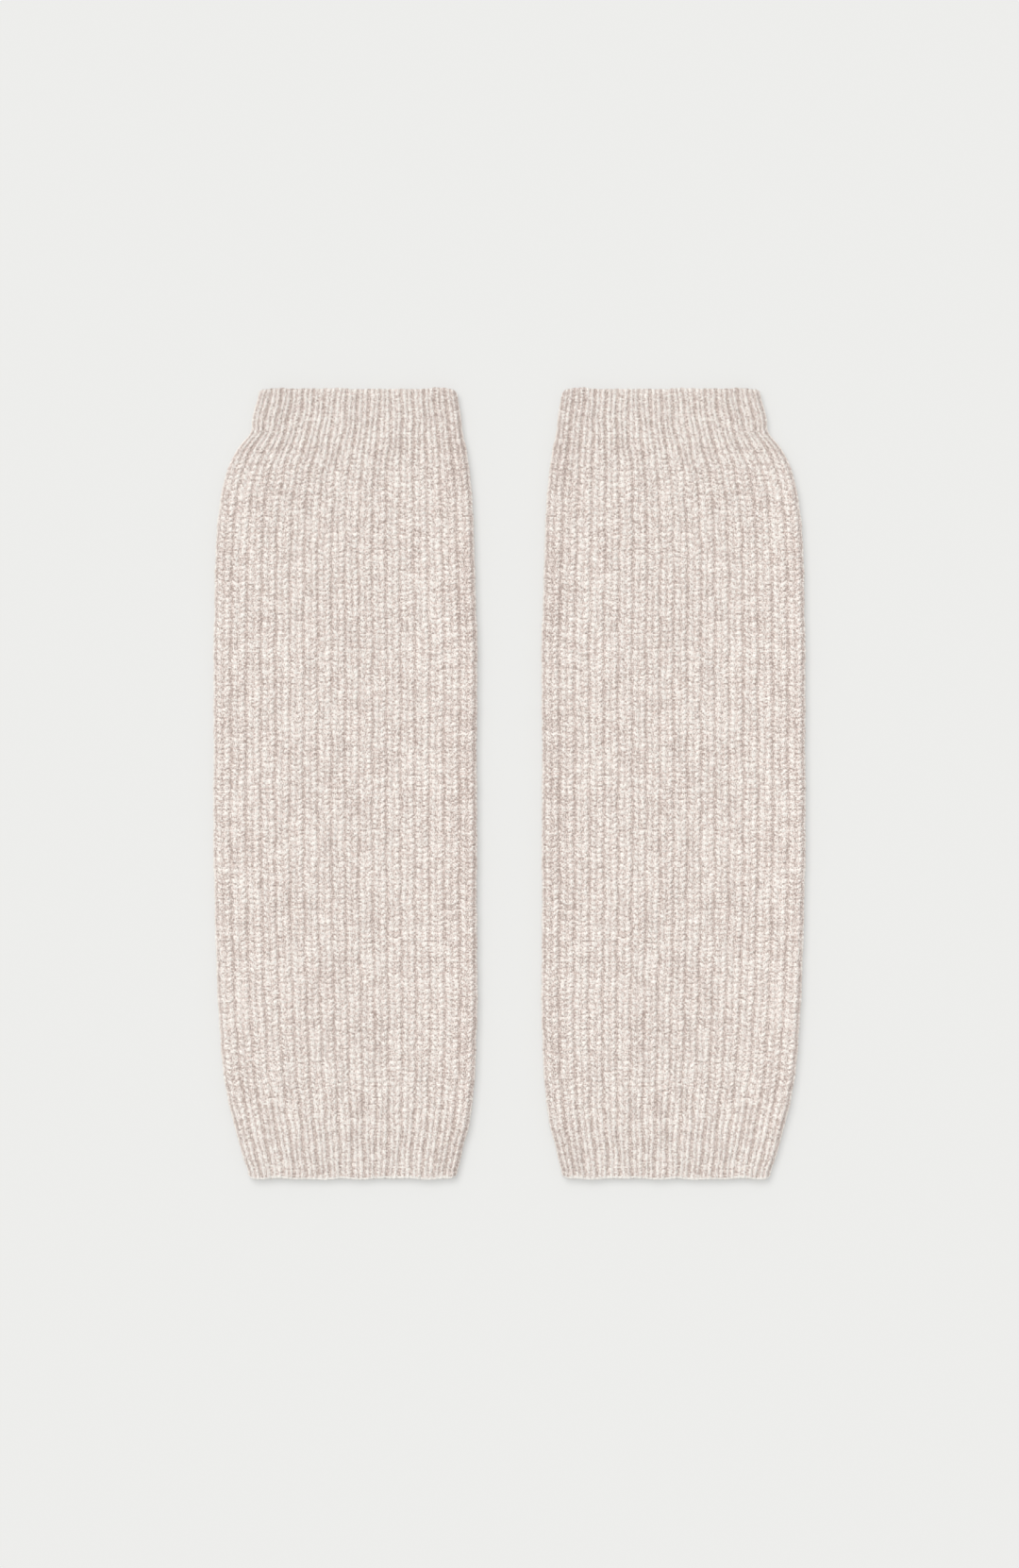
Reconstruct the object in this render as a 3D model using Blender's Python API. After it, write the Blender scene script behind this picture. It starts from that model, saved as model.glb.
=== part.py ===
"""A pair of knitted arm warmers, laid flat side by side.

Each arm warmer is a tube of thick wool knit, pressed flat: a body in a wide, soft rib, and a tighter
ribbed cuff at either end. Each of the three is one wall, open at both ends, a seam's gap from the
next. Its ribs are raised in the outer face of the upper layer and round the side folds, its inside is
plain, and its underside is flat where it rests.

Units are metres. X runs across the pair, Y along the arm towards the upper cuff, and Z up, with the
floor at Z = 0 and the origin on the floor, midway between the two and halfway along them. The right
arm warmer is the left one mirrored.
"""

import math
from collections import namedtuple

import bmesh
import bpy

# Sizes are in millimetres, and each point becomes metres as it is placed
MM = 0.001

# Driving dimensions
LENGTH = 360.0
CUFF_DEPTH = 22.8
AXIS_OFFSET = 74.5
SEAM_GAP = 0.3

# The knit: ribs between the two side folds, with one more wrapped round each fold. A rib is two legs
# with a shallow groove between them, and a gutter parts it from the next.
FACE_RIBS = 18
LEG_PLACE = 0.24
GROOVE_SHARE = 0.3
FOLD_RIB_HALF_TURN = math.radians(49.0)

# How finely the plain faces are divided
UNDERSIDE_STEPS = 7
INSIDE_RUN_STEPS = 9
INSIDE_FOLD_STEPS = 4

# An open end curves back along the arm at its two corners: their radii, and how much of a quarter
# circle each keeps
FreeEnd = namedtuple("FreeEnd", "along outer_corner inner_corner")
HEM = FreeEnd(along=0.0, outer_corner=2.5, inner_corner=5.0)
TOP = FreeEnd(along=LENGTH, outer_corner=1.2, inner_corner=4.0)
CORNER_SHARE = 0.9

WOOL = (0.735, 0.658, 0.605, 1.0)
WOOL_ROUGHNESS = 0.95

# One section across an arm warmer. along: its distance from the lower hem. outer and inner: from the
# arm warmer's own axis to the side fold away from its pair, and to the one beside it.
# middle and fold: height of the pressed tube at the middle of its width, and beside a fold. wall: the
# cloth over a rib. gutter: depth between two ribs. spread: how much more the ribs open out by the folds.
Section = namedtuple("Section", "along outer inner middle fold wall gutter spread")

LOWER_CUFF = (
    Section(0.0, 44.2, 50.8, 5.5, 5.9, 2.3, 0.8, 0.00),
    Section(3.0, 44.6, 51.0, 5.7, 6.1, 2.4, 0.9, 0.00),
    Section(9.5, 46.5, 52.2, 5.9, 6.3, 2.4, 0.9, 0.01),
    Section(16.3, 48.5, 53.8, 6.1, 6.5, 2.5, 0.9, 0.02),
    Section(CUFF_DEPTH, 50.0, 55.5, 6.3, 6.7, 2.6, 1.0, 0.03),
)

BODY = (
    Section(CUFF_DEPTH, 50.4, 55.9, 6.3, 6.8, 2.6, 1.0, 0.03),
    Section(27.5, 51.7, 56.8, 6.5, 7.1, 2.7, 1.1, 0.03),
    Section(33.5, 53.3, 57.7, 6.6, 7.3, 2.8, 1.1, 0.04),
    Section(44.0, 55.2, 58.7, 6.6, 7.4, 2.8, 1.1, 0.05),
    Section(58.0, 56.8, 59.4, 6.6, 7.5, 2.8, 1.1, 0.05),
    Section(78.0, 58.0, 59.9, 6.6, 7.5, 2.8, 1.1, 0.05),
    Section(105.0, 59.3, 59.9, 6.6, 7.5, 2.8, 1.1, 0.05),
    Section(145.0, 60.2, 59.8, 6.6, 7.5, 2.8, 1.1, 0.05),
    Section(200.0, 60.3, 59.8, 6.6, 7.5, 2.8, 1.1, 0.05),
    Section(250.0, 60.1, 59.8, 6.6, 7.5, 2.8, 1.1, 0.05),
    Section(280.0, 59.6, 58.9, 6.6, 7.5, 2.8, 1.1, 0.05),
    Section(296.0, 58.8, 58.4, 6.6, 7.4, 2.8, 1.1, 0.05),
    Section(308.0, 57.2, 57.6, 6.6, 7.3, 2.8, 1.1, 0.04),
    Section(318.0, 55.4, 56.9, 6.6, 7.2, 2.8, 1.1, 0.04),
    Section(326.5, 52.6, 55.9, 6.5, 7.1, 2.7, 1.1, 0.03),
    Section(332.5, 49.7, 55.0, 6.4, 6.9, 2.6, 1.0, 0.02),
    Section(LENGTH - CUFF_DEPTH, 46.6, 54.0, 6.2, 6.6, 2.6, 1.0, 0.02),
)

UPPER_CUFF = (
    Section(LENGTH - CUFF_DEPTH, 44.5, 53.5, 6.0, 6.4, 2.5, 0.9, 0.01),
    Section(344.0, 43.1, 52.8, 5.8, 6.2, 2.4, 0.9, 0.00),
    Section(352.0, 41.4, 51.9, 5.7, 6.1, 2.4, 0.9, 0.00),
    Section(357.0, 40.0, 51.1, 5.6, 6.0, 2.4, 0.9, 0.00),
    Section(LENGTH, 39.2, 50.6, 5.5, 5.8, 2.3, 0.8, 0.00),
)

# A point of a ring: its place from the axis towards the pair, its height, and how far round the tube it
# lies: 0 to 1 up the outer fold, to 2 over the upper layer, to 3 down the inner fold, to 4 underneath.
RingPoint = namedtuple("RingPoint", "across height turn")


class PressedTube:
    """The outline of one section of the pressed tube, over its ribs. A rib's groove lies on each side fold,
    so the outline is that much wider than the section."""

    def __init__(self, section):
        self.section = section
        self.radius = section.fold / 2
        self.centre = (section.inner - section.outer) / 2
        self.half = (section.inner + section.outer) / 2 + section.gutter * GROOVE_SHARE
        self.run = self.half - self.radius

    def top(self, across):
        """Height of the upper layer between the centres of the two folds."""
        section = self.section
        share = abs(across - self.centre) / self.run
        return section.middle + (section.fold - section.middle) * share**3

    def on_fold(self, side, angle, inset):
        """A point of a fold, side -1 for the outer one, at an angle up from level."""
        reach = self.radius - inset
        across = self.centre + side * (self.run + reach * math.cos(angle))
        height = self.radius + reach * math.sin(angle)
        climbed = (angle + math.pi / 2) / math.pi
        turn = climbed if side < 0 else 3 - climbed
        return RingPoint(across, height, turn)

    def on_top(self, across, inset):
        """A point of the upper layer, which rounds off into the folds near its two sides."""
        offset = across - self.centre
        if abs(offset) > self.run:
            angle = math.acos(min(1.0, (abs(offset) - self.run) / self.radius))
            return self.on_fold(math.copysign(1, offset), angle, inset)
        turn = 1.5 + 0.5 * offset / self.run
        return RingPoint(across, self.top(across) - inset, turn)

    def underneath(self, share, height):
        """A point of the underside, with share from 0 by the inner fold to 1 by the outer one."""
        across = self.centre + self.run * (1 - 2 * share)
        return RingPoint(across, height, 3 + share)


def fold_rib(tube, side):
    """Points of the rib wrapped round a fold, from the floor up to the first gutter of the face."""
    gutter = tube.section.gutter
    half = FOLD_RIB_HALF_TURN
    leg = 2 * LEG_PLACE * half
    low_leg = (half + math.pi / 2) / 2
    places = (
        (-math.pi / 2, 0.0),
        (-low_leg, 0.0),
        (-half, gutter),
        (-leg, 0.0),
        (0.0, gutter * GROOVE_SHARE),
        (leg, 0.0),
    )
    return [tube.on_fold(side, angle, inset) for angle, inset in places]


def face_ribs(tube):
    """Points of the ribs between the folds, each a leg, a groove and a leg, with gutters on both sides."""
    section = tube.section
    reach = tube.run + tube.radius * math.cos(FOLD_RIB_HALF_TURN)

    def across(rib):
        place = 2 * rib / FACE_RIBS - 1
        eased = place * (1 - section.spread) + section.spread * place**3
        return tube.centre + reach * eased

    points = [tube.on_top(across(0), section.gutter)]
    for rib in range(FACE_RIBS):
        middle = rib + 0.5
        points.append(tube.on_top(across(middle - LEG_PLACE), 0.0))
        points.append(tube.on_top(across(middle), section.gutter * GROOVE_SHARE))
        points.append(tube.on_top(across(middle + LEG_PLACE), 0.0))
        points.append(tube.on_top(across(rib + 1), section.gutter))
    return points


def outside(tube):
    """The outer ring of a section: ribs up one fold, over the top and down the other, and a flat floor."""
    underside = [tube.underneath(step / UNDERSIDE_STEPS, 0.0) for step in range(1, UNDERSIDE_STEPS)]
    return fold_rib(tube, -1) + face_ribs(tube) + fold_rib(tube, 1)[::-1] + underside


def inside(tube):
    """The plain inner ring of a section, a wall's thickness in from the tops of the ribs."""
    wall = tube.section.wall
    angles = [math.pi * (step / INSIDE_FOLD_STEPS - 0.5) for step in range(INSIDE_FOLD_STEPS + 1)]
    outer_fold = [tube.on_fold(-1, angle, wall) for angle in angles]
    inner_fold = [tube.on_fold(1, angle, wall) for angle in reversed(angles)]
    steps = [2 * step / INSIDE_RUN_STEPS - 1 for step in range(1, INSIDE_RUN_STEPS)]
    upper = [tube.on_top(tube.centre + tube.run * step, wall) for step in steps]
    lower = [tube.underneath((1 + step) / 2, wall) for step in steps]
    return outer_fold + upper + inner_fold + lower


def round_corner(tube, across, along, free_end):
    """The place along the arm of a point, curved back where it is near a corner of the free end."""
    offset = across - tube.centre
    radius = free_end.inner_corner if offset > 0 else free_end.outer_corner
    depth = radius - abs(free_end.along - along)
    reach = 1 - (tube.half - abs(offset)) / radius
    if depth <= 0 or reach <= 0:
        return along
    kept = math.sqrt(1 - (CORNER_SHARE * reach) ** 2)
    towards_middle = math.copysign(1, LENGTH / 2 - free_end.along)
    return along + towards_middle * depth * (1 - kept)


def add_ring(mesh, tube, points, along, free_end, side):
    """Adds a ring's vertices, side -1 for the left arm warmer, and returns them."""
    ring = []
    for point in points:
        place = round_corner(tube, point.across, along, free_end) if free_end else along
        across = side * (AXIS_OFFSET - point.across)
        ring.append(mesh.verts.new((across * MM, (place - LENGTH / 2) * MM, point.height * MM)))
    return ring


def loft(mesh, rings):
    """Joins rings of like points with faces."""
    for near, far in zip(rings, rings[1:]):
        for index in range(len(near)):
            following = (index + 1) % len(near)
            mesh.faces.new((near[index], near[following], far[following], far[index]))


def close_end(mesh, outer_ring, outer_points, inner_ring, inner_points):
    """Closes an end of the wall with triangles between two rings of unlike points, matched by turn."""
    outer_turns = [point.turn for point in outer_points[1:]] + [4.0, math.inf]
    inner_turns = [point.turn for point in inner_points[1:]] + [4.0, math.inf]
    outer_step = inner_step = 0
    while outer_step < len(outer_ring) or inner_step < len(inner_ring):
        outer_start = outer_ring[outer_step % len(outer_ring)]
        inner_start = inner_ring[inner_step % len(inner_ring)]
        if outer_turns[outer_step] <= inner_turns[inner_step]:
            outer_step += 1
            mesh.faces.new((outer_start, outer_ring[outer_step % len(outer_ring)], inner_start))
        else:
            inner_step += 1
            mesh.faces.new((outer_start, inner_ring[inner_step % len(inner_ring)], inner_start))


def stations(sections):
    """Each section's distance from the hem, with half of a seam's gap left where a zone meets the next."""
    places = [section.along for section in sections]
    if places[0] > 0:
        places[0] += SEAM_GAP / 2
    if places[-1] < LENGTH:
        places[-1] -= SEAM_GAP / 2
    return places


def knitted_tube(name, sections, side, free_end=None):
    """Makes one zone of an arm warmer as a closed wall round its hollow."""
    tubes = [PressedTube(section) for section in sections]
    outer_points = [outside(tube) for tube in tubes]
    inner_points = [inside(tube) for tube in tubes]
    mesh = bmesh.new()
    outer_rings = []
    inner_rings = []
    for index, along in enumerate(stations(sections)):
        tube = tubes[index]
        outer_rings.append(add_ring(mesh, tube, outer_points[index], along, free_end, side))
        inner_rings.append(add_ring(mesh, tube, inner_points[index], along, free_end, side))
    loft(mesh, outer_rings)
    loft(mesh, inner_rings)
    for end in (0, -1):
        close_end(mesh, outer_rings[end], outer_points[end], inner_rings[end], inner_points[end])
    bmesh.ops.recalc_face_normals(mesh, faces=mesh.faces)
    data = bpy.data.meshes.new(name)
    mesh.to_mesh(data)
    mesh.free()
    return bpy.data.objects.new(name, data)


def wool_material():
    """Matte oatmeal wool."""
    material = bpy.data.materials.new("wool")
    material.use_nodes = True
    shader = material.node_tree.nodes["Principled BSDF"]
    shader.inputs["Base Color"].default_value = WOOL
    shader.inputs["Roughness"].default_value = WOOL_ROUGHNESS
    shader.inputs["Metallic"].default_value = 0.0
    return material


def arm_warmer(label, side):
    """Makes the three zones of one arm warmer."""
    return [
        knitted_tube(f"lower_cuff_{label}", LOWER_CUFF, side, HEM),
        knitted_tube(f"body_{label}", BODY, side),
        knitted_tube(f"upper_cuff_{label}", UPPER_CUFF, side, TOP),
    ]


def main():
    """Clears the scene and makes the pair."""
    for old in list(bpy.data.objects):
        bpy.data.objects.remove(old, do_unlink=True)
    collection = bpy.data.collections.new("arm_warmers")
    bpy.context.scene.collection.children.link(collection)
    material = wool_material()
    for piece in arm_warmer("left", -1) + arm_warmer("right", 1):
        piece.data.materials.append(material)
        collection.objects.link(piece)


main()
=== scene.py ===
"""Looks of a pair of knitted arm warmers, laid flat side by side and seen from straight above.

Each zone of knitting, the body and the two cuffs of either arm warmer, is a closed shell of cloth with
every stitch raised in it: two legs of yarn to a stitch, a groove between them, and a gutter between two
ribs. The left arm warmer is knitted stitch by stitch, and the right one is its mirror image. Lengths are
in millimetres up to the last step, and metres in the scene.
"""

from __future__ import annotations

import logging
import math
from dataclasses import dataclass, field, fields
from enum import Enum

import bmesh
import bpy
import numpy as np
from mathutils import Matrix, Vector

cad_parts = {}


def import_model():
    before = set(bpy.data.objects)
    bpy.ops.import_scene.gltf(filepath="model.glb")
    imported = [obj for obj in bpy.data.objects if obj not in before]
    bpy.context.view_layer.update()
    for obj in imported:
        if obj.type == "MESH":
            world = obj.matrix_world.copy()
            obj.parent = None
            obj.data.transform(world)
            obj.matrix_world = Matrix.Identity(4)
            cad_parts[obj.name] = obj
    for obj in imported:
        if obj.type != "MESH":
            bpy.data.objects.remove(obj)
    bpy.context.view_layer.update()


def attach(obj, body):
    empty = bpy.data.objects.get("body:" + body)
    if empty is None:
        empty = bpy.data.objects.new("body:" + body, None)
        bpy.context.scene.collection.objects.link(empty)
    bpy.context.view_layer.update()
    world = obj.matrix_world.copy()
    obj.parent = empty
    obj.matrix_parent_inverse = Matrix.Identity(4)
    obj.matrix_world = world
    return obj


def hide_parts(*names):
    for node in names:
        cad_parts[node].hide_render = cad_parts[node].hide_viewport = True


LOG = logging.getLogger("arm_warmers")

MM = 0.001
CHART = "knit"
BODY = "root"

# The pair as the part has it
LENGTH = 360.0
CUFF_DEPTH = 22.8
AXIS_OFFSET = 74.5

# Ribs between the side folds on either layer, with one more wrapped round each fold
FACE_RIBS = 18
ALL_RIBS = 2 * FACE_RIBS + 2
FOLD_RIB_HALF_TURN = math.radians(49.0)

# How far the cloth reaches past the table's width, as a share of the gutter, and how round the yarn is
GROOVE_SHARE = 0.3
YARN_ROUNDNESS = 1.3

# How near two points are one, and at how many places along a zone its cut is measured
WELD = 0.001
CUT_SAMPLES = 200

# How an open edge turns over, in steps with a share of the lip and of the wall
LIP_STEPS = ((0.7, 0.24), (1.0, 0.5), (0.7, 0.78))


class Hand(Enum):
    """Which arm warmer of the pair."""

    LEFT = "left"
    RIGHT = "right"


class OpenEnd(Enum):
    """Which end of a zone of knitting is an open edge of the arm warmer."""

    NONE = "none"
    HEM = "hem"
    TOP = "top"


@dataclass(frozen=True)
class Section:
    """One section across an arm warmer, with its lengths in millimetres.

    along is its distance from the lower hem, outer and inner reach from the arm warmer's own axis to the
    fold away from its pair and to the one beside it, middle and fold are heights of the pressed tube,
    wall is the cloth over a rib, gutter the depth between two ribs, and spread how much more the ribs
    open out by the folds.
    """

    along: float
    outer: float
    inner: float
    middle: float
    fold: float
    wall: float
    gutter: float
    spread: float


LOWER_SEAM = CUFF_DEPTH
UPPER_SEAM = LENGTH - CUFF_DEPTH

SECTIONS = (
    Section(0.0, 44.2, 50.8, 5.5, 5.9, 2.3, 0.8, 0.00),
    Section(3.0, 44.6, 51.0, 5.7, 6.1, 2.4, 0.9, 0.00),
    Section(9.5, 46.5, 52.2, 5.9, 6.3, 2.4, 0.9, 0.01),
    Section(16.3, 48.5, 53.8, 6.1, 6.5, 2.5, 0.9, 0.02),
    Section(LOWER_SEAM, 50.2, 55.7, 6.3, 6.8, 2.6, 1.0, 0.03),
    Section(27.5, 51.7, 56.8, 6.5, 7.1, 2.7, 1.1, 0.03),
    Section(33.5, 53.3, 57.7, 6.6, 7.3, 2.8, 1.1, 0.04),
    Section(44.0, 55.2, 58.7, 6.6, 7.4, 2.8, 1.1, 0.05),
    Section(58.0, 56.8, 59.4, 6.6, 7.5, 2.8, 1.1, 0.05),
    Section(78.0, 58.0, 59.9, 6.6, 7.5, 2.8, 1.1, 0.05),
    Section(105.0, 59.3, 59.9, 6.6, 7.5, 2.8, 1.1, 0.05),
    Section(145.0, 60.2, 59.8, 6.6, 7.5, 2.8, 1.1, 0.05),
    Section(200.0, 60.3, 59.8, 6.6, 7.5, 2.8, 1.1, 0.05),
    Section(250.0, 60.1, 59.8, 6.6, 7.5, 2.8, 1.1, 0.05),
    Section(280.0, 59.6, 58.9, 6.6, 7.5, 2.8, 1.1, 0.05),
    Section(296.0, 58.8, 58.4, 6.6, 7.4, 2.8, 1.1, 0.05),
    Section(308.0, 57.2, 57.6, 6.6, 7.3, 2.8, 1.1, 0.04),
    Section(318.0, 55.4, 56.9, 6.6, 7.2, 2.8, 1.1, 0.04),
    Section(326.5, 52.6, 55.9, 6.5, 7.1, 2.7, 1.1, 0.03),
    Section(332.5, 49.4, 55.0, 6.4, 6.9, 2.6, 1.0, 0.02),
    Section(UPPER_SEAM, 45.4, 53.7, 6.1, 6.5, 2.6, 1.0, 0.02),
    Section(339.0, 44.0, 53.5, 6.0, 6.3, 2.5, 0.9, 0.02),
    Section(341.0, 43.2, 53.2, 5.9, 6.2, 2.4, 0.9, 0.01),
    Section(345.0, 42.8, 52.7, 5.8, 6.2, 2.4, 0.9, 0.00),
    Section(352.0, 41.4, 51.9, 5.7, 6.1, 2.4, 0.9, 0.00),
    Section(357.0, 40.0, 51.1, 5.6, 6.0, 2.4, 0.9, 0.00),
    Section(LENGTH, 39.2, 50.6, 5.5, 5.8, 2.3, 0.8, 0.00),
)


@dataclass(frozen=True)
class Corners:
    """Radii of the two corners of an open end, and how much of a quarter circle each keeps."""

    along: float
    outer: float
    inner: float
    share: float = 0.9


CORNERS = {
    OpenEnd.HEM: Corners(along=0.0, outer=2.5, inner=5.0),
    OpenEnd.TOP: Corners(along=LENGTH, outer=1.2, inner=4.0),
}


@dataclass(frozen=True)
class Gauge:
    """Courses in millimetres, and how finely a stitch is drawn over the face and underneath."""

    course: float
    rows: int
    columns: int
    back_columns: int


BODY_GAUGE = Gauge(course=2.39, rows=3, columns=8, back_columns=4)
LOWER_GAUGE = Gauge(course=1.425, rows=4, columns=8, back_columns=6)
UPPER_GAUGE = Gauge(course=1.63, rows=4, columns=8, back_columns=6)


@dataclass(frozen=True)
class Form:
    """How the two legs of a stitch lie.

    leg_tilt, leg_place and leg_half are shares of a rib's width: how far a leg leans, where it lies from
    the rib's middle and half its width. groove and course_dip are shares of the gutter's depth: how deep
    the cloth falls between the legs, and where one stitch meets the next.
    """

    leg_tilt: float
    groove: float
    course_dip: float
    leg_place: float
    leg_half: float


LOOSE = Form(leg_tilt=0.09, groove=0.78, course_dip=0.8, leg_place=0.237, leg_half=0.21)
TIGHT = Form(leg_tilt=0.04, groove=0.9, course_dip=0.3, leg_place=0.215, leg_half=0.19)

# How far a leg's outer side runs ahead of its inner side, in courses, which makes the V of a stitch
CHEVRON = 0.35


@dataclass(frozen=True)
class Pull:
    """Where the knitting is pulled tight, in courses from the hem: the cuffs, and fading into the body."""

    lower_seam: float = 16.0
    upper_seam: float = 148.0
    lower_fade: float = 8.0
    upper_fade: float = 6.0

    def at(self, course: np.ndarray) -> np.ndarray:
        """How tight the knitting is pulled.

        Args:
            course: course coordinates from the hem.

        Returns:
            Shares from 0 in the middle of the body to 1 in the cuffs.
        """
        lower = 1 - (course - self.lower_seam) / self.lower_fade
        upper = 1 - (self.upper_seam - course) / self.upper_fade
        return np.clip(np.maximum(lower, upper), 0.0, 1.0)


PULL = Pull()

# The relief's share of the gutter on the face and underneath, and over how many ribs it falls by a fold
RELIEF = 0.9
BACK_RELIEF = 0.4
FOLD_FADE = 1.2

# How uneven the legs are, and how much of the V of a stitch is left at an open edge
UNEVENNESS = 0.1
EDGE_RIPPLE = {OpenEnd.NONE: 0.0, OpenEnd.HEM: 0.15, OpenEnd.TOP: 0.6}


@dataclass(frozen=True)
class Wave:
    """One slow wave of the cloth's unevenness: turns to a rib and to a millimetre along, and its phase."""

    ribs: float
    along: float
    phase: float


def waves(amount: float, parts: tuple[Wave, ...], ribs: np.ndarray, along: np.ndarray) -> np.ndarray:
    """Adds up slow waves.

    Args:
        amount: the height of the sum, about.
        parts: the waves.
        ribs: rib coordinates.
        along: distances from the hem.

    Returns:
        The sum at each place.
    """
    total = sum(np.sin(2 * math.pi * (w.ribs * ribs + w.along * along + w.phase)) for w in parts)
    return amount * total / math.sqrt(len(parts))


# How the ribs wander sideways, how the cloth puffs, and how the outline strays
WANDER = (
    Wave(0.31, 0.019, 0.10),
    Wave(-0.23, 0.034, 0.55),
    Wave(0.47, -0.027, 0.82),
    Wave(0.12, 0.061, 0.37),
)
PUFF = (
    Wave(0.11, 0.011, 0.42),
    Wave(-0.17, 0.016, 0.91),
    Wave(0.08, -0.023, 0.18),
    Wave(0.29, 0.029, 0.66),
)
STRAY = (Wave(0.0, 0.013, 0.2), Wave(0.0, 0.031, 0.7), Wave(0.0, 0.083, 0.4))
WANDER_AMOUNT = 0.28
PUFF_AMOUNT = 0.22
STRAY_AMOUNT = 0.16

# How the courses rise and fall across the cloth
ROWS = (
    Wave(3 / ALL_RIBS, 0.004, 0.25),
    Wave(8 / ALL_RIBS, -0.011, 0.60),
    Wave(-13 / ALL_RIBS, 0.017, 0.05),
)
ROWS_AMOUNT = 0.35
ROWS_FADE = 8.0

# The middle ribs even out the outline's turns: over how long a reach, read at which shares of it, up to
# which share of the half-width, and how sharply the outer ribs come to follow the outline
CALM_REACH = 9.0
CALM_STEPS = (-1, -0.5, 0, 0.5, 1)
CALM_SHARE = 0.93
CALM_POWER = 5

# How sharply the ribs open out by the folds, their wandering ends there, and the tube fills out
SPREAD_POWER = 3
WANDER_POWER = 4
FULLNESS_POWER = 3


@dataclass
class PressedTube:
    """The pressed tube that the knitting follows, from its table of sections."""

    sections: tuple[Section, ...] = SECTIONS

    def at(self, along: np.ndarray) -> dict[str, np.ndarray]:
        """Reads every column of the table at some distances from the hem, along a smooth curve.

        Args:
            along: distances from the hem.

        Returns:
            An array for each column.
        """
        places = np.array([section.along for section in self.sections])
        index = np.clip(np.searchsorted(places, along, side="right") - 1, 0, len(places) - 2)
        step = places[index + 1] - places[index]
        share = np.clip((along - places[index]) / step, 0.0, 1.0)
        found = {}
        for column in fields(Section)[1:]:
            values = np.array([getattr(section, column.name) for section in self.sections])
            slopes = np.gradient(values, places)
            found[column.name] = (
                (2 * share**3 - 3 * share**2 + 1) * values[index]
                + (share**3 - 2 * share**2 + share) * step * slopes[index]
                + (3 * share**2 - 2 * share**3) * values[index + 1]
                + (share**3 - share**2) * step * slopes[index + 1]
            )
        return found

    def width(self, along: np.ndarray) -> tuple[np.ndarray, np.ndarray]:
        """Where the tube lies across.

        Args:
            along: distances from the hem.

        Returns:
            The place of its middle, and half its width between the folds.
        """
        section = self.at(along)
        centre = (section["inner"] - section["outer"]) / 2
        half = (section["inner"] + section["outer"]) / 2 + section["gutter"] * GROOVE_SHARE
        return centre, half

    def calm(self, along: np.ndarray) -> tuple[np.ndarray, np.ndarray]:
        """Where the tube would lie with its outline evened out along the arm.

        Args:
            along: distances from the hem.

        Returns:
            The same two as width returns.
        """
        nearby = [self.width(np.clip(along + CALM_REACH * step, 0.0, LENGTH)) for step in CALM_STEPS]
        centres, halves = zip(*nearby)
        return sum(centres) / len(nearby), sum(halves) / len(nearby)

    def place(self, ribs: np.ndarray, along: np.ndarray, inset: np.ndarray) -> np.ndarray:
        """Puts points of the cloth on the tube.

        Args:
            ribs: rib coordinates, from 0 at the gutter by the outer fold, over the face and round.
            along: distances from the hem.
            inset: depths in from the tops of the ribs.

        Returns:
            Points as rows of across, along and height, in millimetres, with across from the arm
            warmer's own axis towards its pair.
        """
        section = self.at(along)
        radius = section["fold"] / 2
        centre, half = self.width(along)
        run = half + waves(STRAY_AMOUNT, STRAY, ribs, along) - radius
        turn = FOLD_RIB_HALF_TURN

        face = ribs <= FACE_RIBS
        inner_fold = (ribs > FACE_RIBS) & (ribs < FACE_RIBS + 1)
        outer_fold = ribs > ALL_RIBS - 1
        back = ~(face | inner_fold | outer_fold)

        share = np.where(face, 2 * ribs / FACE_RIBS - 1, 1 - 2 * (ribs - FACE_RIBS - 1) / FACE_RIBS)
        eased = share * (1 - section["spread"]) + section["spread"] * share**SPREAD_POWER
        offset = (run + radius * math.cos(turn)) * eased
        calm_centre, calm_half = self.calm(along)
        calm_offset = (calm_half - half + run + radius * math.cos(turn)) * eased
        follows = np.clip(np.abs(share) / CALM_SHARE, 0.0, 1.0) ** CALM_POWER
        drift = (calm_centre + calm_offset - centre - offset) * (1 - follows)
        offset = offset + drift + waves(WANDER_AMOUNT, WANDER, ribs, along) * (1 - share**WANDER_POWER)

        beyond = np.clip((np.abs(offset) - run) / radius, 0.0, 1.0)
        side = np.sign(offset)
        angle = np.arccos(beyond) * np.where(face, 1.0, -1.0)
        angle = np.where(inner_fold, turn * (1 - 2 * (ribs - FACE_RIBS)), angle)
        angle = np.where(outer_fold, turn * (2 * (ribs - ALL_RIBS + 1) - 1), angle)
        side = np.where(inner_fold, 1.0, np.where(outer_fold, -1.0, side))
        on_arc = inner_fold | outer_fold | (np.abs(offset) > run)

        fullness = np.clip(np.abs(offset) / run, 0.0, 1.0) ** FULLNESS_POWER
        puff = waves(PUFF_AMOUNT, PUFF, ribs, along) * (1 - fullness)
        top = section["middle"] + (section["fold"] - section["middle"]) * fullness + puff
        flat_height = np.where(back, inset, top - inset)
        reach = radius - inset
        across = np.where(on_arc, side * (run + reach * np.cos(angle)), offset)
        height = np.where(on_arc, radius + reach * np.sin(angle), flat_height)
        return np.stack((centre + across, along, height), axis=-1)

    def rounded(self, points: np.ndarray, corners: Corners) -> np.ndarray:
        """Curves the two corners of an open end back along the arm.

        Args:
            points: points as place returns them.
            corners: the corners of that end.

        Returns:
            The points, with those near a corner moved.
        """
        across, along = points[..., 0], points[..., 1]
        centre, half = self.width(along)
        offset = across - centre
        radius = np.where(offset > 0, corners.inner, corners.outer)
        depth = np.clip(radius - np.abs(corners.along - along), 0.0, None)
        reach = np.clip(1 - (half - np.abs(offset)) / radius, 0.0, 1.0)
        kept = np.sqrt(1 - (corners.share * reach) ** 2)
        moved = points.copy()
        moved[..., 1] = along + math.copysign(1, LENGTH / 2 - corners.along) * depth * (1 - kept)
        return moved


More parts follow.
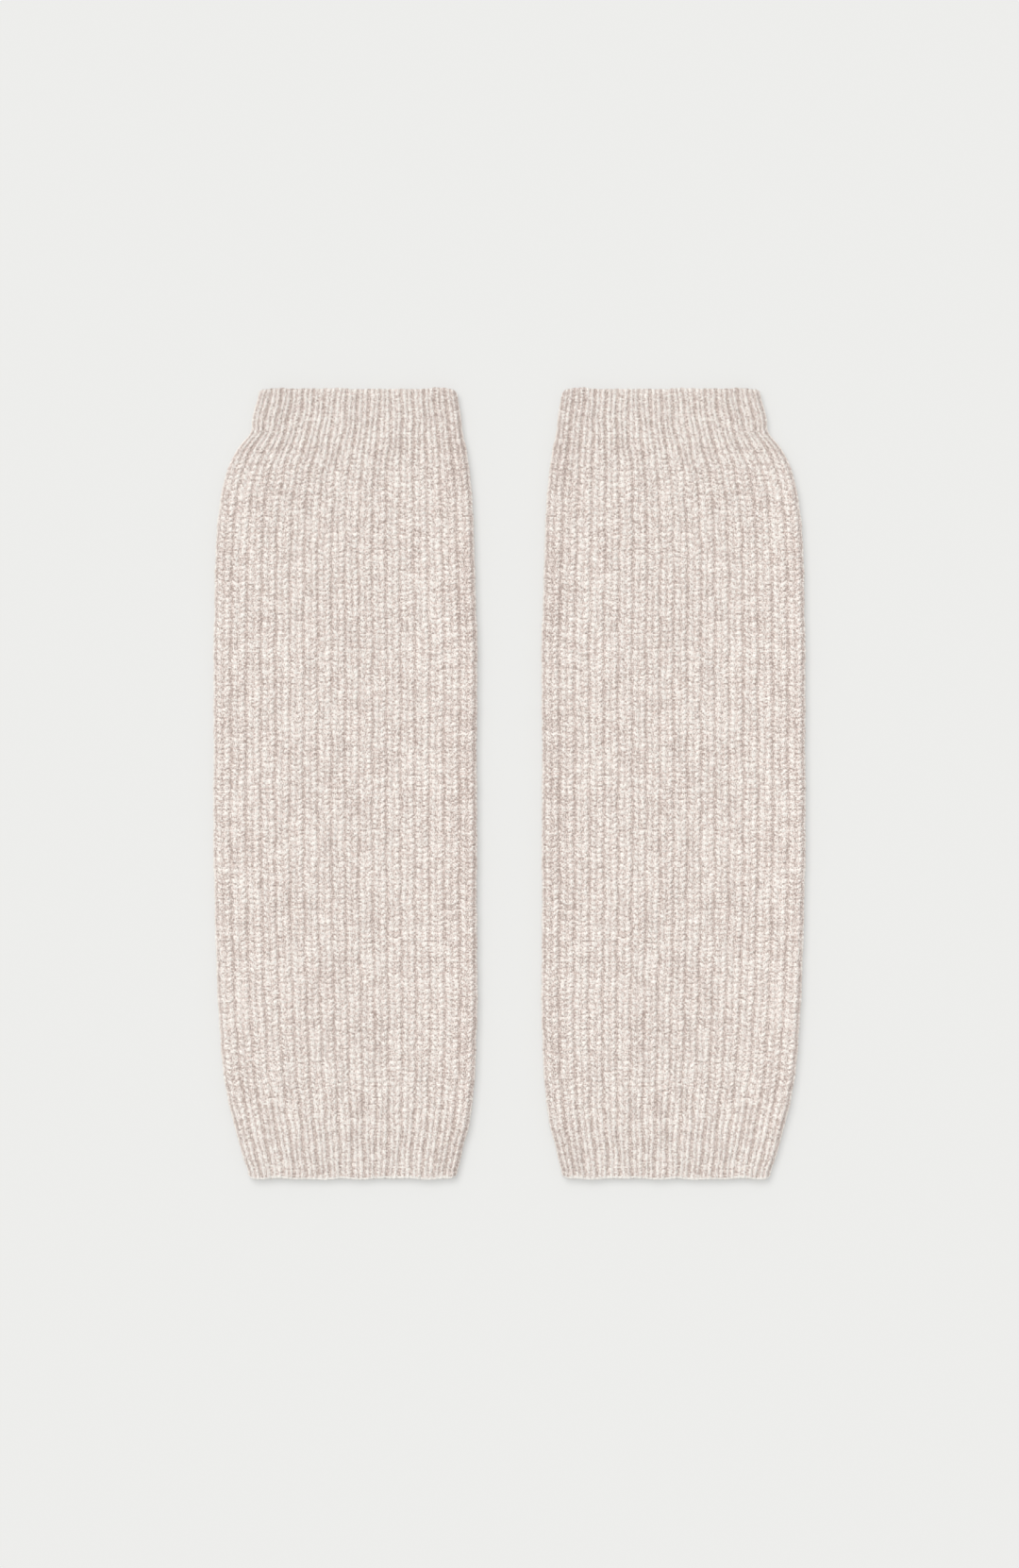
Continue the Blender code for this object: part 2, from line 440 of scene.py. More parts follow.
@dataclass
class Knitting:
    """The relief of a zone's stitches."""

    first_course: int
    courses: int
    seed: int
    unevenness: np.ndarray = field(init=False)

    def __post_init__(self) -> None:
        """Draws how uneven each leg of each stitch is."""
        draw = np.random.default_rng(self.seed)
        self.unevenness = draw.normal(0.0, UNEVENNESS, (self.courses + 2, 2 * ALL_RIBS))

    def depth(self, ribs: np.ndarray, course: np.ndarray, gutter: np.ndarray) -> np.ndarray:
        """How far the surface lies in from the tops of the ribs.

        Args:
            ribs: rib coordinates, whole at the gutters.
            course: course coordinates from the hem, whole where one stitch meets the next.
            gutter: the depth between two ribs, in millimetres.

        Returns:
            Depths in millimetres.
        """
        tight = PULL.at(course)
        place = LOOSE.leg_place + (TIGHT.leg_place - LOOSE.leg_place) * tight
        half = LOOSE.leg_half + (TIGHT.leg_half - LOOSE.leg_half) * tight
        tilt = LOOSE.leg_tilt + (TIGHT.leg_tilt - LOOSE.leg_tilt) * tight
        groove = LOOSE.groove + (TIGHT.groove - LOOSE.groove) * tight
        dip = LOOSE.course_dip + (TIGHT.course_dip - LOOSE.course_dip) * tight
        aside = np.abs(ribs % 1.0 - 0.5)
        height = course % 1.0
        leg_at = place + tilt * (height - 0.5)
        yarn = np.clip(1 - ((aside - leg_at) / half) ** 2, 0.0, 1.0) ** YARN_ROUNDNESS
        raised = np.maximum(yarn, np.where(aside < leg_at, 1 - groove, 0.0))
        bow = np.sin(math.pi * height)
        leg = np.floor(2 * ribs).astype(int) % (2 * ALL_RIBS)
        row = np.clip(np.floor(course).astype(int) - self.first_course, 0, self.courses + 1)
        lowered = dip * (1 - bow) + self.unevenness[row, leg] * bow
        places = (0.0, FOLD_FADE, FACE_RIBS - FOLD_FADE, FACE_RIBS)
        scale = np.interp(ribs, places, (BACK_RELIEF, RELIEF, RELIEF, BACK_RELIEF))
        return gutter * scale * np.clip(1 - raised * (1 - lowered), 0.0, 1.0 + UNEVENNESS)


@dataclass(frozen=True)
class Zone:
    """A zone of either arm warmer: its ends, gauge, open end and first course from the hem."""

    name: str
    start: float
    finish: float
    gauge: Gauge
    open_end: OpenEnd
    first_course: int


ZONES = (
    Zone("lower_cuff", 0.0, LOWER_SEAM, LOWER_GAUGE, OpenEnd.HEM, first_course=0),
    Zone("body", LOWER_SEAM, UPPER_SEAM, BODY_GAUGE, OpenEnd.NONE, first_course=16),
    Zone("upper_cuff", UPPER_SEAM, LENGTH, UPPER_GAUGE, OpenEnd.TOP, first_course=148),
)


@dataclass
class KnittedZone:
    """One zone of knitting: a closed shell of cloth with its stitches raised in it."""

    zone: Zone
    seam_clearance: float = 0.01
    lip: float = 0.7
    inside_step: float = 22.0
    tube: PressedTube = field(default_factory=PressedTube)
    courses: int = field(init=False)
    last_course: int = field(init=False)
    knitting: Knitting = field(init=False)

    def __post_init__(self) -> None:
        """Works out the courses of the zone."""
        self.courses = round((self.zone.finish - self.zone.start) / self.zone.gauge.course)
        self.last_course = self.zone.first_course + self.courses
        self.knitting = Knitting(self.zone.first_course, self.courses, seed=self.last_course)

    def columns(self) -> np.ndarray:
        """Spaces the grid's columns, coarser underneath.

        Returns:
            Their rib coordinates.
        """
        face = np.arange(0, FACE_RIBS + 1, 1 / self.zone.gauge.columns)
        back = np.arange(FACE_RIBS + 1, ALL_RIBS - 1, 1 / self.zone.gauge.back_columns)
        outer_fold = np.arange(ALL_RIBS - 1, ALL_RIBS, 1 / self.zone.gauge.columns)
        return np.concatenate((face, back, outer_fold, [ALL_RIBS]))

    def is_open(self, at_start: bool) -> bool:
        """Whether an end of the zone is an open edge of the arm warmer."""
        return self.zone.open_end is (OpenEnd.HEM if at_start else OpenEnd.TOP)

    def edge(self, at_start: bool) -> float:
        """Finds where the stitches of an end stop: short of the lip, or of the seam.

        Args:
            at_start: whether it is the end nearer the hem.

        Returns:
            That place's distance from the hem.
        """
        towards = 1 if at_start else -1
        along = self.zone.start if at_start else self.zone.finish
        return along + towards * (self.lip if self.is_open(at_start) else self.seam_clearance)

    def slant(self, ribs: np.ndarray, course: np.ndarray) -> np.ndarray:
        """How far each point is drawn along the arm by the V of its stitch and its row's wave, in courses.

        Args:
            ribs: rib coordinates.
            course: course coordinates from the hem.

        Returns:
            Shifts, which fade out at a seam and leave a ripple at an open edge.
        """
        ripple = EDGE_RIPPLE[self.zone.open_end]
        from_start = course - self.zone.first_course + ripple * self.is_open(True)
        from_finish = self.last_course - course + ripple * self.is_open(False)
        fade = np.clip(np.minimum(from_start, from_finish), 0.0, 1.0)
        chevron = CHEVRON * (2 * np.abs(ribs % 1.0 - 0.5) - 0.5) * fade
        above_start = course - self.zone.first_course + ROWS_FADE * self.is_open(True)
        below_finish = self.last_course - course + ROWS_FADE * self.is_open(False)
        from_seam = np.clip(np.minimum(above_start, below_finish) / ROWS_FADE, 0.0, 1.0)
        return chevron + waves(ROWS_AMOUNT, ROWS, ribs, course) * from_seam

    def finished(self, ribs: np.ndarray, along: np.ndarray, inset: np.ndarray) -> np.ndarray:
        """Places points on the tube, with the open end's corners rounded.

        Args:
            ribs: rib coordinates.
            along: distances from the hem.
            inset: depths in from the tops of the ribs.

        Returns:
            The points, as place returns them.
        """
        points = self.tube.place(ribs, along, inset)
        if self.zone.open_end in CORNERS:
            points = self.tube.rounded(points, CORNERS[self.zone.open_end])
        return points

    def outer_layer(self, mesh: bmesh.types.BMesh) -> None:
        """Makes the outer face of the cloth from a grid, wrapped round the tube and joined to itself.

        Args:
            mesh: an empty bmesh with its layers made.
        """
        columns = self.columns()
        rows = self.courses * self.zone.gauge.rows
        bmesh.ops.create_grid(mesh, x_segments=len(columns) - 1, y_segments=rows, size=0.5)
        flat = np.array([vert.co[:2] for vert in mesh.verts]) + 0.5
        ribs = columns[np.rint(flat[:, 0] * (len(columns) - 1)).astype(int)]
        course = self.zone.first_course + np.rint(flat[:, 1] * rows) / self.zone.gauge.rows
        low, high = self.edge(True), self.edge(False)
        share = (course + self.slant(ribs, course) - self.zone.first_course) / self.courses
        along = low + (high - low) * share
        inset = self.knitting.depth(ribs, course, self.tube.at(along)["gutter"])
        points = self.finished(ribs, along, inset)
        rib_layer = mesh.verts.layers.float["rib"]
        course_layer = mesh.verts.layers.float["course"]
        for vert, point, rib, stage in zip(mesh.verts, points, ribs, course):
            vert.co = Vector(point)
            vert[rib_layer] = rib
            vert[course_layer] = stage
        ends = [vert for vert, rib in zip(mesh.verts, ribs) if rib in (0, ALL_RIBS)]
        bmesh.ops.remove_doubles(mesh, verts=ends, dist=WELD)

    def extruded(
        self,
        mesh: bmesh.types.BMesh,
        rim: list[bmesh.types.BMEdge],
        along: float,
        share: float,
        course: float,
    ) -> list[bmesh.types.BMEdge]:
        """Draws a rim of the cloth on to another depth and distance.

        Args:
            mesh: the shell.
            rim: the edges of the open rim.
            along: where it goes, from the hem.
            share: how deep in the wall, from 0 at the tops of the ribs to 1 at the inside.
            course: the course coordinate that it takes.

        Returns:
            The edges of the new rim.
        """
        made = bmesh.ops.extrude_edge_only(mesh, edges=rim)["geom"]
        verts = [item for item in made if isinstance(item, bmesh.types.BMVert)]
        edges = [item for item in made if isinstance(item, bmesh.types.BMEdge)]
        rib_layer = mesh.verts.layers.float["rib"]
        course_layer = mesh.verts.layers.float["course"]
        ribs = np.array([vert[rib_layer] for vert in verts])
        nearest = np.full(len(verts), min(max(course, self.zone.first_course), self.last_course))
        places = along + self.slant(ribs, nearest) * self.zone.gauge.course * (1 - share)
        points = self.finished(ribs, places, self.tube.at(places)["wall"] * share)
        for vert, point in zip(verts, points):
            vert.co = Vector(point)
            vert[course_layer] = course
        return edges

    def rim(self, mesh: bmesh.types.BMesh, at_start: bool) -> list[bmesh.types.BMEdge]:
        """Finds the open rim of the outer layer at one end.

        Args:
            mesh: the shell.
            at_start: whether it is the end nearer the hem.

        Returns:
            The rim's edges.
        """
        course_layer = mesh.verts.layers.float["course"]
        course = self.zone.first_course if at_start else self.last_course
        return [
            edge
            for edge in mesh.edges
            if edge.is_boundary and all(abs(vert[course_layer] - course) < WELD for vert in edge.verts)
        ]

    def turned_edge(self, mesh: bmesh.types.BMesh, at_start: bool) -> list[bmesh.types.BMEdge]:
        """Rounds an open edge over, or squares off one that meets the next zone.

        Args:
            mesh: the shell.
            at_start: whether it is the end nearer the hem.

        Returns:
            The rim on the inside of the wall.
        """
        rim = self.rim(mesh, at_start)
        away = -1 if at_start else 1
        edge = self.edge(at_start)
        course = float(self.zone.first_course if at_start else self.last_course)
        if self.is_open(at_start):
            for out, share in LIP_STEPS:
                rim = self.extruded(mesh, rim, edge + away * out * self.lip, share, course + away * out)
        else:
            for line in rim:
                line.smooth = False
        return self.extruded(mesh, rim, edge, 1.0, course)

    def inner_layer(self, mesh: bmesh.types.BMesh) -> None:
        """Draws the inside of the cloth from one end to the other and joins it there.

        Args:
            mesh: the shell, with its outer layer.
        """
        first = self.turned_edge(mesh, True)
        last = self.turned_edge(mesh, False)
        low, high = self.edge(True), self.edge(False)
        steps = max(2, round((high - low) / self.inside_step))
        for step in range(1, steps):
            share = step / steps
            course = self.zone.first_course + self.courses * share
            first = self.extruded(mesh, first, low + (high - low) * share, 1.0, course)
        bmesh.ops.bridge_loops(mesh, edges=first + last)

    def chart(self, mesh: bmesh.types.BMesh) -> None:
        """Writes the rib and course of each corner to the UV map that the yarn's pattern follows.

        Args:
            mesh: the closed shell.
        """
        rib_layer = mesh.verts.layers.float["rib"]
        course_layer = mesh.verts.layers.float["course"]
        chart = mesh.loops.layers.uv.new(CHART)
        for face in mesh.faces:
            ribs = [loop.vert[rib_layer] for loop in face.loops]
            wraps = max(ribs) - min(ribs) > FACE_RIBS
            for loop, rib in zip(face.loops, ribs):
                turned = rib + ALL_RIBS if wraps and rib < FACE_RIBS else rib
                loop[chart].uv = (turned, loop.vert[course_layer])

    def settle(self, mesh: bmesh.types.BMesh) -> None:
        """Sorts the faces by their lowest corners, as extruding leaves them in no fixed order.

        Args:
            mesh: the closed shell.
        """
        mesh.verts.index_update()
        count = len(mesh.verts)

        def order(face: bmesh.types.BMFace) -> int:
            """A number of each face's own, from three of its corners."""
            first, second, third = sorted(vert.index for vert in face.verts)[:3]
            return (first * count + second) * count + third

        mesh.faces.sort(key=order)

    def build(self) -> bpy.types.Mesh:
        """Knits the zone of the left arm warmer.

        Returns:
            Its mesh, in metres and in place.
        """
        mesh = bmesh.new()
        mesh.verts.layers.float.new("rib")
        mesh.verts.layers.float.new("course")
        self.outer_layer(mesh)
        self.inner_layer(mesh)
        self.chart(mesh)
        bmesh.ops.recalc_face_normals(mesh, faces=mesh.faces)
        self.settle(mesh)
        bmesh.ops.translate(mesh, verts=mesh.verts, vec=(-AXIS_OFFSET, -LENGTH / 2, 0.0))
        bmesh.ops.scale(mesh, verts=mesh.verts, vec=(MM, MM, MM))
        data = bpy.data.meshes.new(f"{self.zone.name}_left")
        mesh.to_mesh(data)
        mesh.free()
        data.shade_smooth()
        return data


# What a socket can be given
Value = bpy.types.NodeSocket | float | tuple[float, ...]


@dataclass
class Wiring:
    """Short ways to add nodes to one tree and join them."""

    tree: bpy.types.NodeTree

    def put(self, socket: bpy.types.NodeSocket, value: Value) -> None:
        """Joins a socket to another one, or gives it a value.

        Args:
            socket: the input.
            value: the output that feeds it, or its number or colour.
        """
        if isinstance(value, bpy.types.NodeSocket):
            self.tree.links.new(value, socket)
        else:
            socket.default_value = value

    def math(self, operation: str, *values: Value) -> bpy.types.NodeSocket:
        """Adds a math node.

        Args:
            operation: its operation.
            values: its inputs in order.

        Returns:
            Its output.
        """
        node = self.tree.nodes.new("ShaderNodeMath")
        node.operation = operation
        for socket, value in zip(node.inputs, values):
            self.put(socket, value)
        return node.outputs["Value"]

    def sum(self, *values: Value) -> bpy.types.NodeSocket:
        """Adds up values.

        Args:
            values: two or more of them.

        Returns:
            Their sum.
        """
        total = values[0]
        for value in values[1:]:
            total = self.math("ADD", total, value)
        return total

    def noise(self, across: Value, along: Value, detail: float) -> bpy.types.NodeSocket:
        """Adds a flat noise, centred on zero.

        Args:
            across: one coordinate, in sizes of the grain.
            along: the other.
            detail: how many finer grains it carries.

        Returns:
            The noise less its mean.
        """
        place = self.tree.nodes.new("ShaderNodeCombineXYZ")
        self.put(place.inputs["X"], across)
        self.put(place.inputs["Y"], along)
        node = self.tree.nodes.new("ShaderNodeTexNoise")
        node.noise_dimensions = "2D"
        node.inputs["Scale"].default_value = 1.0
        node.inputs["Detail"].default_value = detail
        self.put(node.inputs["Vector"], place.outputs["Vector"])
        return self.math("SUBTRACT", node.outputs["Fac"], NOISE_MEAN)

    def between(self, share: Value, first: float, second: float) -> bpy.types.NodeSocket:
        """A value on the way from one number to another."""
        return self.math("ADD", self.math("MULTIPLY", share, second - first), first)

    def group(self, group: NodeGroup, values: dict[str, Value]) -> bpy.types.Node:
        """Places a shared effect.

        Args:
            group: its node group.
            values: what its inputs take, by their names.

        Returns:
            The node.
        """
        node = self.tree.nodes.new("ShaderNodeGroup")
        node.node_tree = group.tree
        for name, value in values.items():
            self.put(node.inputs[name], value)
        return node

    def blend(self, share: Value, first: Value, second: Value) -> bpy.types.NodeSocket:
        """Mixes two colours.

        Args:
            share: how much of the second.
            first: one colour.
            second: the other.

        Returns:
            The mixed colour.
        """
        node = self.tree.nodes.new("ShaderNodeMix")
        node.data_type = "RGBA"
        sockets = {socket.identifier: socket for socket in node.inputs}
        self.put(sockets["Factor_Float"], share)
        self.put(sockets["A_Color"], first)
        self.put(sockets["B_Color"], second)
        return next(socket for socket in node.outputs if socket.identifier == "Result_Color")


@dataclass
class NodeGroup:
    """A shader node group with named inputs and outputs, as a base for the shared effects."""

    name: str
    tree: bpy.types.NodeTree = field(init=False)
    source: bpy.types.Node = field(init=False)
    result: bpy.types.Node = field(init=False)

    def __post_init__(self) -> None:
        """Makes the group and wires it."""
        self.tree = bpy.data.node_groups.new(self.name, "ShaderNodeTree")
        self.source = self.tree.nodes.new("NodeGroupInput")
        self.result = self.tree.nodes.new("NodeGroupOutput")
        self.wire(Wiring(self.tree))

    def take(self, name: str, kind: str = "NodeSocketFloat") -> bpy.types.NodeSocket:
        """Adds a named input and returns the socket that it comes in by."""
        self.tree.interface.new_socket(name=name, in_out="INPUT", socket_type=kind)
        return self.source.outputs[name]

    def give(self, name: str, value: bpy.types.NodeSocket, kind: str = "NodeSocketFloat") -> None:
        """Adds a named output and feeds it."""
        self.tree.interface.new_socket(name=name, in_out="OUTPUT", socket_type=kind)
        self.tree.links.new(value, self.result.inputs[name])

    def wire(self, wiring: Wiring) -> None:
        """Adds the group's sockets and nodes."""
        raise NotImplementedError


class Tightness(NodeGroup):
    """How tight the knitting is pulled at each course, as Pull has it."""

    def wire(self, wiring: Wiring) -> None:
        """Adds the group's sockets and nodes.

        Args:
            wiring: short ways to add nodes to the group's tree.
        """
        course = self.take("Course")
        lower = wiring.math("SUBTRACT", course, self.take("Lower Seam"))
        lower = wiring.math("DIVIDE", lower, self.take("Lower Fade"))
        upper = wiring.math("SUBTRACT", self.take("Upper Seam"), course)
        upper = wiring.math("DIVIDE", upper, self.take("Upper Fade"))
        slack = wiring.math("MINIMUM", wiring.math("MINIMUM", lower, upper), 1.0)
        self.give("Tightness", wiring.math("SUBTRACT", 1.0, wiring.math("MAXIMUM", slack, 0.0)))


class StitchForm(NodeGroup):
    """The form of the stitches: two legs of yarn to a rib, dipping where one stitch meets the next."""

    def wire(self, wiring: Wiring) -> None:
        """Adds the group's sockets and nodes.

        Args:
            wiring: short ways to add nodes to the group's tree.
        """
        rib = self.take("Rib")
        course = self.take("Course")
        aside = wiring.math("ABSOLUTE", wiring.math("SUBTRACT", wiring.math("FRACT", rib), 0.5))
        height = wiring.math("FRACT", course)
        lean = wiring.math("MULTIPLY", wiring.math("SUBTRACT", height, 0.5), self.take("Leg Tilt"))
        leg_at = wiring.math("ADD", self.take("Leg Place"), lean)
        off = wiring.math("DIVIDE", wiring.math("SUBTRACT", aside, leg_at), self.take("Leg Half"))
        room = wiring.math("MAXIMUM", wiring.math("SUBTRACT", 1.0, wiring.math("MULTIPLY", off, off)), 0.0)
        yarn = wiring.math("POWER", room, YARN_ROUNDNESS)
        between = wiring.math("LESS_THAN", aside, leg_at)
        floor = wiring.math("MULTIPLY", between, wiring.math("SUBTRACT", 1.0, self.take("Groove")))
        raised = wiring.math("MAXIMUM", yarn, floor)
        bow = wiring.math("SINE", wiring.math("MULTIPLY", height, math.pi))
        hollow = wiring.math("MULTIPLY", wiring.math("SUBTRACT", 1.0, bow), self.take("Course Dip"))
        self.give("Height", wiring.math("MULTIPLY", raised, wiring.math("SUBTRACT", 1.0, hollow)))

        # A mask across each gutter between two ribs, which carries the painted shade there
        near = wiring.math("SUBTRACT", 0.5, aside)
        far = wiring.math("MINIMUM", wiring.math("DIVIDE", near, self.take("Gutter Half")), 1.0)
        round_bottom = wiring.math("COSINE", wiring.math("MULTIPLY", far, math.pi))
        self.give("Gutter", wiring.math("MULTIPLY", wiring.math("ADD", round_bottom, 1.0), 0.5))

        own = self.tree.nodes.new("ShaderNodeCombineXYZ")
        wiring.put(own.inputs["X"], wiring.math("FLOOR", wiring.math("MULTIPLY", rib, 2.0)))
        wiring.put(own.inputs["Y"], wiring.math("FLOOR", course))
        draw = self.tree.nodes.new("ShaderNodeTexWhiteNoise")
        draw.noise_dimensions = "2D"
        wiring.put(draw.inputs["Vector"], own.outputs["Vector"])
        self.give("Leg", wiring.math("SUBTRACT", draw.outputs["Value"], 0.5))
        self.give("Side", wiring.math("SIGN", wiring.math("SUBTRACT", wiring.math("FRACT", rib), 0.5)))


class HeatherAndPaintedLight(NodeGroup):
    """Wool spun from pale and dark fibres: its colour, with painted shade in the hollows and by the folds
    and painted highlights at the rim and the hem, and the fibres' own relief.
    """

    def fading(self, wiring: Wiring, name: str, away: Value) -> bpy.types.NodeSocket:
        """Makes a named tone that fades out over its reach.

        Args:
            wiring: short ways to add nodes to the group's tree.
            name: the tone's name, as in its inputs.
            away: how far each place is from where the tone is full.

        Returns:
            What it adds to the wool's tone.
        """
        share = wiring.math("DIVIDE", away, self.take(f"{name} Reach"))
        mask = wiring.math("MAXIMUM", wiring.math("SUBTRACT", 1.0, share), 0.0)
        return wiring.math("MULTIPLY", mask, self.take(f"By {name}"))

    def by_folds(self, wiring: Wiring, rib: Value) -> bpy.types.NodeSocket:
        """Makes the painted shade by the two folds, where the cloth turns away from the light, and a
        painted highlight along the rim at both, fading out a little way in.

        Args:
            wiring: short ways to add nodes to the group's tree.
            rib: the rib coordinate.

        Returns:
            What they add to the wool's tone.
        """
        turned = wiring.math("ADD", rib, 0.5)
        from_outer = wiring.math("PINGPONG", turned, ALL_RIBS / 2)
        from_inner = wiring.math("SUBTRACT", ALL_RIBS / 2, from_outer)
        from_either = wiring.math("PINGPONG", turned, ALL_RIBS / 4)
        # Painted shade by either fold, where the cloth turns away from the light, and a painted highlight
        # along the rim at both
        return wiring.sum(
            self.fading(wiring, "Outer Fold", from_outer),
            self.fading(wiring, "Inner Fold", from_inner),
            self.fading(wiring, "Rim", from_either),
        )

    def wire(self, wiring: Wiring) -> None:
        """Adds the group's sockets and nodes.

        Args:
            wiring: short ways to add nodes to the group's tree.
        """
        rib = self.take("Rib")
        course = self.take("Course")
        along = self.take("Along")
        lean = wiring.math("MULTIPLY", self.take("Side"), self.take("Fibre Lean"))
        leaned = wiring.math("SUBTRACT", rib, wiring.math("MULTIPLY", lean, along))
        grains = {
            grain.name: wiring.noise(
                wiring.math("MULTIPLY", leaned if grain.leans else rib, grain.to_a_rib),
                wiring.math("MULTIPLY", along, grain.to_a_metre),
                grain.detail,
            )
            for grain in GRAINS
        }
        height = self.take("Height")
        from_seam = wiring.math("ABSOLUTE", wiring.math("SUBTRACT", course, self.take("Seam Course")))
        tone = wiring.sum(
            self.take("Middle"),
            # Painted shade: darker where the stitch lies low and in the gutters between ribs, where the
            # yarn shades itself
            wiring.math("MULTIPLY", height, self.take("By Height")),
            wiring.math("MULTIPLY", self.take("Gutter"), self.take("By Gutter")),
            # Painted highlight: a pale line along the hem's lip, which faces down away from the light
            wiring.math("MULTIPLY", wiring.math("LESS_THAN", course, HEM_HIGHLIGHT_COURSE), self.take("By Hem")),
            self.by_folds(wiring, rib),
            self.fading(wiring, "Seam", from_seam),
            wiring.math("MULTIPLY", self.take("Leg"), self.take("By Leg")),
            *(wiring.math("MULTIPLY", grains[name], self.take(f"By {name}")) for name in grains),
        )
        doubled = wiring.math("MULTIPLY", tone, 2.0)
        lower = wiring.math("MINIMUM", wiring.math("MAXIMUM", doubled, 0.0), 1.0)
        rest = wiring.math("SUBTRACT", doubled, 1.0)
        upper = wiring.math("MINIMUM", wiring.math("MAXIMUM", rest, 0.0), 1.0)
        shade = self.take("Shade", "NodeSocketColor")
        base = self.take("Base", "NodeSocketColor")
        light = self.take("Light", "NodeSocketColor")
        colour = wiring.blend(upper, wiring.blend(lower, shade, base), light)
        self.give("Colour", colour, "NodeSocketColor")
        stitches = wiring.math("MULTIPLY", height, self.take("Stitch Relief"))
        self.give("Relief", wiring.math("ADD", stitches, grains["Fibre"]))


@dataclass(frozen=True)
class Grain:
    """A grain of the wool: how many to a rib and to a metre, its detail, and if it leans with the legs."""

    name: str
    to_a_rib: float
    to_a_metre: float
    detail: float
    leans: bool


GRAINS = (
    Grain("Fibre", to_a_rib=17.0, to_a_metre=1350.0, detail=1.0, leans=True),
    Grain("Fleck", to_a_rib=4.2, to_a_metre=540.0, detail=1.0, leans=True),
    Grain("Patch", to_a_rib=0.5, to_a_metre=50.0, detail=1.0, leans=False),
)
NOISE_MEAN = 0.5

# Up to which course the hem's lip carries a painted highlight, and the middle of the darker courses under
# the upper seam
HEM_HIGHLIGHT_COURSE = 0.3
DARK_COURSE = PULL.upper_seam - 1.9


@dataclass(frozen=True)
class WoolFinish:
    """Heathered oatmeal wool: colours in linear light, shares of its tone, some of which paint shade and
    highlights on it, and the bump in metres.
    """

    shade: tuple[float, float, float] = (0.37, 0.293, 0.256)
    base: tuple[float, float, float] = (0.712, 0.592, 0.541)
    light: tuple[float, float, float] = (0.93, 0.90, 0.845)
    roughness: float = 1.0
    sheen: float = 0.14
    bump: float = 0.0006
    # Half the width of the painted shade in each gutter, as a share of a rib
    gutter_half: float = 0.24
    middle: float = 0.434
    # How strongly, and from how far edge-on, the painted sheen lightens the wool
    painted_edge_sheen: float = 0.6
    painted_edge_sheen_from: float = 0.35
    tone: dict[str, float] = field(
        default_factory=lambda: {
            # Painted shade where the stitches lie low and in the gutters between ribs
            "By Height": 0.52,
            "By Gutter": -0.1,
            # Painted highlight along the hem's lip
            "By Hem": 0.8,
            # Painted highlight along the rim at both folds
            "By Rim": 0.35,
            "Rim Reach": 0.8,
            # Painted shade by the two folds, where the cloth turns away from the light
            "By Outer Fold": -0.12,
            "Outer Fold Reach": 2.0,
            "By Inner Fold": -0.2,
            "Inner Fold Reach": 2.8,
            "Seam Course": DARK_COURSE,
            "By Seam": -0.12,
            "Seam Reach": 1.5,
            "By Leg": 0.3,
            "By Fibre": 2.9,
            "By Fleck": 0.9,
            "By Patch": 0.2,
            "Fibre Lean": -60.0,
            "Stitch Relief": 0.6,
        }
    )

    def material(self) -> bpy.types.Material:
        """Builds the material.

        Returns:
            The wool.
        """
        material = bpy.data.materials.new("heathered_wool_and_painted_light")
        material.use_nodes = True
        tree = material.node_tree
        wiring = Wiring(tree)
        shader = tree.nodes["Principled BSDF"]
        shader.inputs["Roughness"].default_value = self.roughness
        shader.inputs["Sheen Weight"].default_value = self.sheen
        chart = tree.nodes.new("ShaderNodeUVMap")
        chart.uv_map = CHART
        split = tree.nodes.new("ShaderNodeSeparateXYZ")
        wiring.put(split.inputs["Vector"], chart.outputs["UV"])
        rib, course = split.outputs["X"], split.outputs["Y"]
        place = tree.nodes.new("ShaderNodeTexCoord")
        along = tree.nodes.new("ShaderNodeSeparateXYZ")
        wiring.put(along.inputs["Vector"], place.outputs["Object"])

        pull = wiring.group(
            Tightness("tightness"),
            {
                "Course": course,
                "Lower Seam": PULL.lower_seam,
                "Lower Fade": PULL.lower_fade,
                "Upper Seam": PULL.upper_seam,
                "Upper Fade": PULL.upper_fade,
            },
        )
        tight = pull.outputs["Tightness"]
        stitches = wiring.group(
            StitchForm("stitch_form"),
            {
                "Rib": rib,
                "Course": course,
                "Leg Place": wiring.between(tight, LOOSE.leg_place, TIGHT.leg_place),
                "Leg Half": wiring.between(tight, LOOSE.leg_half, TIGHT.leg_half),
                "Leg Tilt": wiring.between(tight, LOOSE.leg_tilt, TIGHT.leg_tilt),
                "Groove": wiring.between(tight, LOOSE.groove, TIGHT.groove),
                "Course Dip": wiring.between(tight, LOOSE.course_dip, TIGHT.course_dip),
                "Gutter Half": self.gutter_half,
            },
        )
        # Painted sheen: the wool is paler where its surface turns edge-on to the camera
        facing = tree.nodes.new("ShaderNodeLayerWeight").outputs["Facing"]
        edge_on = wiring.math("MAXIMUM", wiring.math("SUBTRACT", facing, self.painted_edge_sheen_from), 0.0)
        wool = wiring.group(
            HeatherAndPaintedLight("heather"),
            {
                "Middle": wiring.math("ADD", wiring.math("MULTIPLY", edge_on, self.painted_edge_sheen), self.middle),
                "Rib": rib,
                "Course": course,
                "Along": along.outputs["Y"],
                "Shade": (*self.shade, 1.0),
                "Base": (*self.base, 1.0),
                "Light": (*self.light, 1.0),
                **{name: stitches.outputs[name] for name in ("Height", "Gutter", "Leg", "Side")},
                **self.tone,
            },
        )
        bump = tree.nodes.new("ShaderNodeBump")
        bump.inputs["Distance"].default_value = self.bump
        wiring.put(bump.inputs["Height"], wool.outputs["Relief"])
        wiring.put(shader.inputs["Base Color"], wool.outputs["Colour"])
        wiring.put(shader.inputs["Normal"], bump.outputs["Normal"])
        return material


